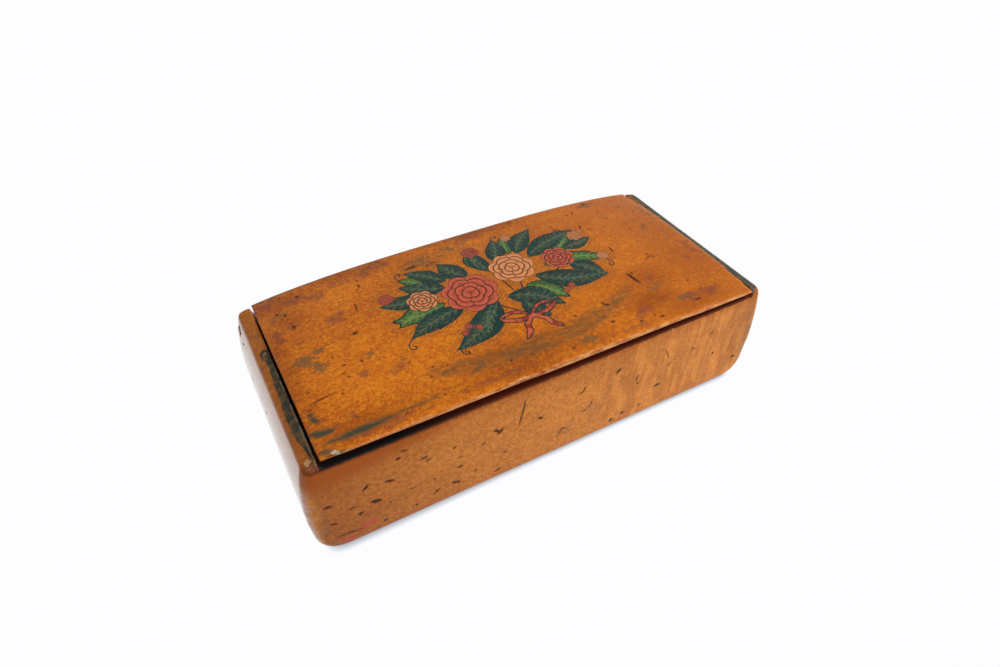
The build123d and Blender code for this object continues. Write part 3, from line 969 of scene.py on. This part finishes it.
# %% Rose group
rose, given = new_group("engraved_rose", {"X": 0.0, "Y": 0.0, "Radius": 4.0})
petal_rings = ((0.98, 7, 0.0), (0.76, 6, 0.9), (0.53, 5, 0.3), (0.30, 3, 1.2))
angle = sums("ARCTAN2", given["Y"], given["X"])
reach = sums("SQRT", given["X"] * given["X"] + given["Y"] * given["Y"])
fine = sums("DIVIDE", 0.10, given["Radius"])
inside_rose, outer_rim, rose_line, rose_shade = None, None, 0.0, 0.0
for share, petals, phase in petal_rings:
    beat = abs(sums("COSINE", angle * (petals / 2) + phase))
    gap = reach - (beat * (0.16 * share) + 0.84 * share)
    covered = mask(gap, fine, fine * -1.0)
    on_rim = mask(abs(gap), fine * 1.9, fine)
    seam = mask(beat * (reach * (2 / petals)), fine * 1.2, fine * 0.4)
    uncovered = 1.0 - covered
    own_line = sums("MAXIMUM", on_rim, seam * covered)
    rose_line = sums("MAXIMUM", uncovered * rose_line, own_line)
    rose_shade = uncovered * rose_shade + mask(gap, 0.0, -0.30) * covered
    if inside_rose is None:
        inside_rose, outer_rim = covered, on_rim
rays = sums("FRACT", angle * 11.0 + reach * 3.0)
ray = mask(abs(rays - 0.5), 0.30, 0.18)
rose_shade = rose_shade * (ray * 0.55 + 0.45)
put_out(rose, {"Inside": inside_rose, "Line": rose_line, "Shade": rose_shade, "Rim": outer_rim})
for group in (wood, painted, scratched, hatched, rose):
    print(group.name, len(group.nodes), "nodes")


# %% [markdown]
# The box and the lid share a few ways to lay a layer: a painted area, a fine stroke, a chip, and
# the last coat of varnish over everything.

# %% Layers that both woods use
def area_of(place, name, wobble=0.18, softness=0.07, wear=0.3):
    """The mask of one painted layer."""
    distance = stored(place.tree, name)
    inputs = {"Place": place, "Distance": distance, "Wobble": wobble, "Softness": softness, "Wear": wear}
    return fill(painted, inputs)["Mask"]


def stroke(offset, width, softness):
    """The mask of fine strokes, from their offset and half width."""
    return fill(scratched, {"Offset": offset, "Width": width, "Softness": softness})["Mask"]


def chips(colour, where, crumbs, shades):
    """Shows dirt and then bare wood where the varnish has flaked off."""
    here = mask(where, 0.02, 0.25)
    for shade, low, high in shades:
        colour = lay(colour, shade, here * mask(crumbs + where, low, high))
    return colour


def finish_varnish(shader, colour, roughness, height, strength, coat=1.0, coat_rough=0.14, coat_ior=1.13):
    """Joins colour, sheen and relief to the shader, with a thin coat of old varnish."""
    relief = {"Height": height, "Strength": strength, "Distance": 0.05 * MM}
    connect(shader, {
        "Base Color": colour, "Roughness": roughness,
        "Normal": add(height.tree, "ShaderNodeBump", relief)[0], "Specular IOR Level": 0.08,
        "Coat Weight": coat, "Coat Roughness": coat_rough, "Coat IOR": coat_ior,
    })


# %% [markdown]
# ## The wood of the box
#
# The varnish is laid as it aged: wood and end grain first, then the thick dark varnish that
# pooled under the rim, a painted shade under the lid's lip, the stains, the smear and the dark
# strips. The knocks come last.

# %% Colours of the box
honey_deep = (0.35, 0.106, 0.010, 1)
honey_pale = (0.635, 0.228, 0.036, 1)
honey_gold = (0.65, 0.262, 0.032, 1)
pooled_varnish = (0.255, 0.052, 0.003, 1)
# painted shade under the lid's lip:
lip_shade_colour = (0.075, 0.014, 0.002, 1)
red_patch = (0.29, 0.070, 0.007, 1)
grey_patch = (0.13, 0.085, 0.04, 1)
smear_pink = (0.42, 0.045, 0.04, 1)
old_ink = (0.034, 0.034, 0.021, 1)
teal_ink = (0.020, 0.036, 0.030, 1)
faded_ink = (0.10, 0.070, 0.032, 1)
dent_dark = (0.024, 0.009, 0.004, 1)
rubbed_wood = (0.27, 0.145, 0.085, 1)
chip_dirt = (0.06, 0.022, 0.010, 1)
bare_wood = (0.44, 0.23, 0.11, 1)
# painted highlight on the inner top edge of the left end wall:
arris_highlight = (0.33, 0.27, 0.16, 1)
raw_inside = (0.62, 0.55, 0.75, 1)
# painted shade for the raw wood deep in the well:
well_shade = (0.06, 0.045, 0.035, 1)

# %% Wood and end grain
body_wood, tree, shader = new_material("body_wood")
place = millimetres(tree)
along, across, height = parts(place)
to_right = mask(along, 2.0, 16.0)
grain = fill(wood, {
    "Place": place, "Pale": honey_pale, "Deep": honey_deep, "Gold": honey_gold,
    "Ripple": to_right * 0.42, "Contrast": to_right * -0.45 + 1.1,
})
break_up = cloud(place, 0.8, 4.0)
tattered = cloud(place, 1.8, 5.0) - 0.5
end_on = abs(parts(add(tree, "ShaderNodeTexCoord")["Normal"])[0])
heart_below, heart_behind, ring_per_mm = 34.0, 7.0, 0.55
rise, sideways = height + heart_below, across - heart_behind
from_heart = sums("SQRT", rise * rise + sideways * sideways) + cloud(place, 0.12, 3.0) * 5.0
ring = sums("FRACT", from_heart * ring_per_mm)
late_wood = mask(ring, 0.35, 0.92) * mask(ring, 1.0, 0.93)
colour = deepen(grain["Color"], mask(end_on, 0.75, 0.95) * (late_wood * 0.45))
# On the front this deepening falls to the left, partly as painted shade.
colour = deepen(colour, stored(tree, "deepened_tone"))

# %% Pooled varnish, painted shade under the lip, stains, smear and dark strips
pool = mask(tattered * 4.5 + stored(tree, "pooled"), -2.0, 1.5)
colour = lay(colour, pooled_varnish, pool, 0.86)
# A dark band painted just below the rim at the front, as the shade under the lid's lip.
lip_shade_mask = mask(tattered * 0.5 + height, rim - 0.95, rim - 0.10)
lip_shade_mask = lip_shade_mask * mask(across, box_low.y + 1.5, box_low.y + 1.0) * mask(along, 30.0, -5.0)
colour = lay(colour, lip_shade_colour, lip_shade_mask, 0.85)
colour = lay(colour, red_patch, stored(tree, "red_stain") * mask(break_up, 0.25, 0.55), 0.6)
colour = lay(colour, grey_patch, stored(tree, "grey_stain") * mask(break_up, 0.35, 0.60), 0.7)
colour = lay(colour, smear_pink, area_of(place, "smear", 0.5, 0.15), 0.85)
ink_colour = lay(old_ink, teal_ink, mask(along, 0.0, 1.0))
ink_colour = lay(ink_colour, faded_ink, mask(cloud(place, 0.5, 3.0), 0.42, 0.68))
colour = lay(colour, ink_colour, area_of(place, "ink", 0.32, 0.08, 0.35))

# %% Dents, rubbed corners, chips and a painted highlight
mark_gap = stored(tree, "mark_gap")
dents = stroke(stored(tree, "mark_offset"), tattered * 0.35 + stored(tree, "mark_width"), 0.12)
dented = dents * mask(mark_gap, 0.34, 0.18)
colour = deepen(colour, mask(mark_gap, 0.40, -0.25) * 0.75)
colour = lay(colour, dent_dark, dented, 0.85)
colour = lay(colour, rubbed_wood, mask(tattered * 2.2 + stored(tree, "rubbed"), 0.35, 0.95), 0.55)
crumbled = tattered * 1.5 + (break_up - 0.5)
chip_shades = ((chip_dirt, 0.32, 0.45), (bare_wood, 0.46, 0.60))
colour = chips(colour, stored(tree, "chipped"), crumbled * 1.3, chip_shades)
# A thin pale line painted along the inner top edge of the left end wall, as a highlight on that edge.
arris = mask(abs(along + (bay_half + 0.14)), 0.16, 0.08) * mask(height, box_high.z - 0.5, box_high.z - 0.3)
arris = arris * mask(break_up, 0.35, 0.6) * mask(across, 4.0, -2.0)
colour = lay(colour, arris_highlight, arris, 0.7)

# %% [markdown]
# The inside is raw wood, painted darker below the rim as shade in the well. The rim under the lid
# looks nearly black at the left and deep red further on, so that shade is painted on it as a dark
# colour of its own and doesn't rely on shadow.

# %% Inside of the box, with painted shade in the well and in the gap under the lid
# Colours of the shade painted on the rim in the gap under the lid.
gap_shade_black = (0.008, 0.006, 0.005, 1)
gap_shade_red = (0.060, 0.009, 0.002, 1)
gap_shade_brown = (0.085, 0.028, 0.010, 1)
# Below the rim, inside the well, the raw wood is painted dark as shade.
raw_wood = lay(deepen(grain["Color"], 1.0, raw_inside), well_shade, mask(height, rim - 0.75, rim - 1.45))
colour = lay(raw_wood, colour, stored(tree, "outside"))
painted_gap_shade = lay(gap_shade_black, gap_shade_red, mask(along, -30.0, -10.0))
painted_gap_shade = lay(painted_gap_shade, gap_shade_brown, mask(across, -19.0, -17.6) * mask(break_up, 0.30, 0.70), 0.6)
rim_back = 15.2
in_bay = mask(abs(along), bay_half + 0.02, bay_half - 0.06)
in_bay = in_bay * mask(across, rim_back + 0.1, rim_back - 0.1)
# Where the lid covers the rim, that painted shade is laid.
in_shaded_gap = in_bay * mask(tattered * 0.2 + height, rim - 0.37, rim - 0.25)
colour = lay(colour, painted_gap_shade, in_shaded_gap)

# %% Sheen of the box
at_end = mask(end_on, 0.3, 0.7) * mask(height, rim + 0.65, rim - 0.65)
dull = sums("MAXIMUM", sums("MAXIMUM", dented, in_shaded_gap), pool * 0.85)
coat = (at_end * 0.86 + 0.14) * (1.0 - dull)
finish_varnish(shader, colour, break_up * 0.22 + 0.30, grain["Height"], 0.35, coat, 0.08, 1.45)
box_piece.data.materials.append(body_wood)
print("body wood:", len(tree.nodes), "nodes")

# %% [markdown]
# ## The wood of the lid
#
# The lid's wood is deeper in colour than the box's, and its fleck gets calmer towards the right.
# Its stains are torn at their edges, because noise is added to them before they are cut.

# %% Wood and stains of the lid
lid_deep = (0.35, 0.078, 0.004, 1)
lid_pale = (0.64, 0.178, 0.008, 1)
lid_gold = (0.64, 0.225, 0.004, 1)
lid_red = (0.185, 0.048, 0.022, 1)
lid_grey = (0.15, 0.082, 0.024, 1)
lid_wood, tree, shader = new_material("lid_wood")
place = millimetres(tree)
along, across, _ = parts(place)
grain = fill(wood, {
    "Place": place, "Pale": lid_pale, "Deep": lid_deep, "Gold": lid_gold,
    "Contrast": mask(along, -15.0, 38.0) * -0.65 + 1.3,
})
colour = deepen(grain["Color"], stored(tree, "deepened_tone"))
break_up = cloud(place, 0.8, 4.0)
tattered = cloud(place, 1.5, 6.0) - 0.5
red_at, grey_at = stored(tree, "red_stain"), stored(tree, "grey_stain")
red = (cloud(place, 0.55, 5.0) - 0.5) * 2.6 + red_at
red_cover = mask(red, 0.45, 0.62) * 0.42 + mask(red, 0.7, 1.1) * 0.22
colour = lay(colour, lid_red, red_cover * mask(red_at, 0.02, 0.3))
grey = mask(tattered * 2.8 + grey_at, 0.30, 0.80) * mask(grey_at, 0.02, 0.25)
colour = lay(colour, lid_grey, grey, 0.8)

# %% [markdown]
# The print is laid from the bottom up: bank, stems, leaves, ribbon, blooms. The two halves of a
# leaf are hatched more and less, which makes it look folded, and its veins are pale.

# %% Inks of the posy
night_ink = (0.010, 0.022, 0.018, 1)
teal = (0.012, 0.042, 0.035, 1)
teal_vein = (0.10, 0.14, 0.07, 1)
leaf_green = (0.050, 0.125, 0.030, 1)
green_vein = (0.13, 0.22, 0.055, 1)
rose_red = (0.26, 0.028, 0.016, 1)
rose_light = (0.52, 0.10, 0.050, 1)
salmon = (0.42, 0.10, 0.045, 1)
salmon_light = (0.66, 0.27, 0.10, 1)
petal_line = (0.045, 0.012, 0.010, 1)
bank_brown = (0.15, 0.066, 0.016, 1)


def lines_at(place, angle, per_mm, weight):
    """Hatching at that angle in degrees."""
    inputs = {"Place": place, "Angle": math.radians(angle), "Lines per mm": per_mm, "Weight": weight}
    return fill(hatched, inputs)["Mask"]


def stroke_of(tree, name, softness=0.05):
    """The mask of one set of fine strokes."""
    return stroke(stored(tree, name + "_offset"), stored(tree, name + "_width"), softness)


def outline_of(tree, name, width=0.13):
    """A thin line along the edge of a painted layer."""
    return stroke(stored(tree, name), width, 0.06)


# %% Print the bank, stems and leaves
flecked = cloud(place, 0.8, 2.0)
strands = mask(cloud(place, 1.5, 2.0, (0.2, 1.0, 1.0)), 0.44, 0.58)
colour = lay(colour, bank_brown, area_of(place, "bank", 0.9, 1.2, 0.2) * (strands * 0.45 + 0.42))
halo = mask((flecked - 0.5) * 2.4 + stored(tree, "halo"), 2.2, 0.3)
fine_lines = lines_at(place, 52, 1.75, 0.42) * mask(flecked, 0.36, 0.6)
colour = lay(colour, bank_brown, halo * (fine_lines * 0.7 + 0.12))
colour = lay(colour, night_ink, stroke_of(tree, "line"))
veins = stroke_of(tree, "vein")
half = mask(stored(tree, "leaf_half"), -0.15, 0.15)
hatching = lines_at(place, -35, 1.9, 0.5) * (half * 0.7 + 0.2)
green_mix = lay(lay(leaf_green, night_ink, hatching), green_vein, veins)
colour = lay(colour, green_mix, area_of(place, "green_leaf"))
colour = lay(colour, night_ink, outline_of(tree, "green_leaf"))
teal_mix = lay(teal, night_ink, sums("MAXIMUM", hatching, mask(break_up, 0.5, 0.8)))
teal_mix = lay(teal_mix, teal_vein, veins, 0.75)
colour = lay(colour, teal_mix, area_of(place, "dark_leaf", 0.15, 0.07, 0.15))

# %% Print the ribbon and the blooms
colour = lay(colour, lay(rose_red, rose_light, mask(flecked, 0.4, 0.6)), area_of(place, "bow"))
colour = lay(colour, night_ink, outline_of(tree, "bow", 0.10))
bloom_size = stored(tree, "bloom_size")
bloom = fill(rose, {"X": stored(tree, "bloom_x"), "Y": stored(tree, "bloom_y"), "Radius": bloom_size})
is_red = mask(stored(tree, "bloom_red"), 0.45, 0.55)
light_petal = lay(salmon_light, rose_light, is_red)
petals = lay(light_petal, lay(salmon, rose_red, is_red), bloom["Shade"])
inner_line = bloom["Line"] * (mask(bloom_size, 0.9, 2.6) * 0.55 + 0.3)
petals = lay(petals, petal_line, sums("MAXIMUM", inner_line, bloom["Rim"] * 0.8))
whole_bloom = bloom["Inside"] * mask(stored(tree, "bloom_near"), 0.35, 0.2)
worn_ink = 1.0 - mask(cloud(place, 1.3, 5.0), 0.56, 0.66) * 0.35
colour = lay(colour, petals, whole_bloom * worn_ink)

# %% [markdown]
# What is left of the border is smoky ink that has worn off in streaks. Then come the dents, the
# raw underside, the worn front edge with a sooty line under it, and the chip at its left end.

# %% Border, dents, underside and worn edge of the lid
border_brown = (0.13, 0.062, 0.016, 1)
border_ink = (0.040, 0.048, 0.030, 1)
snuff_brown = (0.13, 0.045, 0.016, 1)
edge_pale = (0.58, 0.26, 0.088, 1)
edge_soot = (0.10, 0.035, 0.02, 1)
lid_chip_dirt = (0.13, 0.07, 0.035, 1)
lid_chip_wood = (0.46, 0.32, 0.21, 1)
smoky = (cloud(place, 1.1, 5.0, (0.35, 1.0, 1.0)) - 0.5) * 1.6 + stored(tree, "ink")
colour = lay(colour, border_brown, mask(smoky, 0.45, -0.35), 0.7)
colour = lay(colour, border_ink, mask(smoky, 0.0, -0.55), 0.9)
mark_gap = stored(tree, "mark_gap")
colour = deepen(colour, mask(mark_gap, 0.34, -0.2) * 0.7)
colour = lay(colour, dent_dark, stroke_of(tree, "mark", 0.1) * mask(mark_gap, 0.3, 0.16), 0.75)
underside = deepen(grain["Color"], 1.0, raw_inside)
underside = lay(underside, snuff_brown, mask(break_up, 0.5, 0.72), 0.5)
colour = lay(underside, colour, stored(tree, "outside"))
worn_edge = mask(tattered * 0.9 + across, front_edge + 0.30, front_edge + 0.12)
worn_edge = worn_edge * mask(cloud(place, 0.9, 5.0, (0.4, 1.0, 1.0)), 0.34, 0.60)
colour = lay(colour, edge_pale, worn_edge * (mask(along, -34.0, -10.0) * 0.45 + 0.4))
sooty = mask(tattered * 1.6 + across, front_edge - 0.12, front_edge - 0.26)
colour = lay(colour, edge_soot, sooty, 0.5)
crumbled = tattered * 1.5 + (break_up - 0.5)
chip_shades = ((lid_chip_dirt, 0.2, 0.5), (lid_chip_wood, 0.42, 0.62))
colour = chips(colour, stored(tree, "bare"), crumbled * 1.1, chip_shades)
finish_varnish(shader, colour, break_up * 0.22 + 0.30, grain["Height"], 0.3)
lid_piece.data.materials.append(lid_wood)
print("lid wood:", len(tree.nodes), "nodes")

# %% [markdown]
# ## Pegs and pin
#
# The bore for the hinge pin goes through both end walls. A turned peg closes it at each end and
# shows a small disc of darker end grain. The pin itself is dull drawn brass wire.

# %% Pegs
def dress(node, material):
    """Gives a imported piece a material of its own."""
    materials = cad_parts[node].data.materials
    materials.clear()
    materials.append(material)


plug_wood, tree, shader = new_material("plug_wood")
place = millimetres(tree)
grain = fill(wood, {"Place": place, "Pale": (0.40, 0.14, 0.035, 1), "Deep": (0.18, 0.05, 0.012, 1)})
finish_varnish(shader, grain["Color"], cloud(place, 4.0, 2.0) * 0.3 + 0.35, grain["Height"], 0.4)
dress("pin_plug_left", plug_wood)
dress("pin_plug_right", plug_wood)

# %% Pin
bright_brass = (0.66, 0.44, 0.17, 1)
dull_brass = (0.20, 0.12, 0.05, 1)
pin_brass, tree, shader = new_material("pin_brass")
tarnish = mask(cloud(millimetres(tree), 1.2, 4.0), 0.40, 0.70)
colour = lay(bright_brass, dull_brass, tarnish)
connect(shader, {"Base Color": colour, "Roughness": tarnish * 0.3 + 0.3, "Metallic": 1.0})
dress("hinge_pin", pin_brass)

# %% [markdown]
# ## The metal lining
#
# Old boxes were lined with thin sheet of tin and lead, pressed in by hand. It is dull and grey,
# a little rippled, and darker in patches. Each sheet is a subdivided copy of its solid, with
# shallow waves pressed into both faces, and dirt along its borders.

# %% Sheets
tin = (0.42, 0.43, 0.42, 1)
tin_dark = (0.27, 0.265, 0.25, 1)
tin_stain = (0.17, 0.16, 0.14, 1)
tin_scuff = (0.56, 0.57, 0.56, 1)
tin_dirt = (0.11, 0.095, 0.075, 1)
lining, tree, shader = new_material("lining_sheet")
place = millimetres(tree)
patch = cloud(place, 0.10, 5.0)
fine = cloud(place, 1.4, 3.0)
colour = lay(tin, tin_dark, mask(patch, 0.36, 0.70))
colour = lay(colour, tin_stain, mask(cloud(place, 0.55, 6.0), 0.56, 0.70), 0.5)
for stretch in ((0.03, 1.3, 1.3), (1.3, 0.04, 0.04)):
    colour = lay(colour, tin_scuff, mask(cloud(place, 1.3, 2.0, stretch), 0.64, 0.70), 0.35)
colour = lay(colour, tin_dirt, mask((fine - 0.5) * 0.9 + stored(tree, "seam"), 0.35, 1.05), 0.85)
relief = add(tree, "ShaderNodeBump", {"Height": fine, "Strength": 0.35, "Distance": 0.06 * MM})[0]
inputs = {"Base Color": colour, "Roughness": patch * 0.35 + 0.28, "Metallic": 1.0, "Normal": relief}
connect(shader, inputs)


def pressed_sheet(node, body):
    """A lining sheet with shallow waves pressed into both its faces."""
    sheet = bmesh.new()
    sheet.from_mesh(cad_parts[node].data)
    bmesh.ops.remove_doubles(sheet, verts=sheet.verts, dist=0.001 * MM)
    bmesh.ops.dissolve_limit(sheet, angle_limit=0.02, verts=sheet.verts, edges=sheet.edges)
    long_edges = [e for e in sheet.edges if e.calc_length() > 2 * MM]
    bmesh.ops.subdivide_edges(sheet, edges=long_edges, cuts=40, use_grid_fill=True)
    sheet.normal_update()
    places, _ = places_and_normals(sheet)
    low, high = (np.array(corner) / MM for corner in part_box(node))
    wide = np.argsort(high - low)[1:]
    to_border = np.minimum(places - low, high - places)[:, wide].min(axis=1)
    push_in(sheet, slow_waves(places, 5.0, 8) ** 2 * 0.07 * np.clip(to_border / 1.5, 0, 1))
    seam = {"seam": np.clip(1 - to_border / 2.2, 0, 1)}
    piece = finished_piece("pressed_" + node, sheet, body, node, seam)
    piece.data.materials.append(lining)


for node in ("lining_floor", "lining_front", "lining_back", "lining_left", "lining_right"):
    pressed_sheet(node, "box")
pressed_sheet("lining_lid", "lid")

# %% [markdown]
# ## Done

# %% Finish
bpy.context.scene.view_settings.view_transform = "Standard"
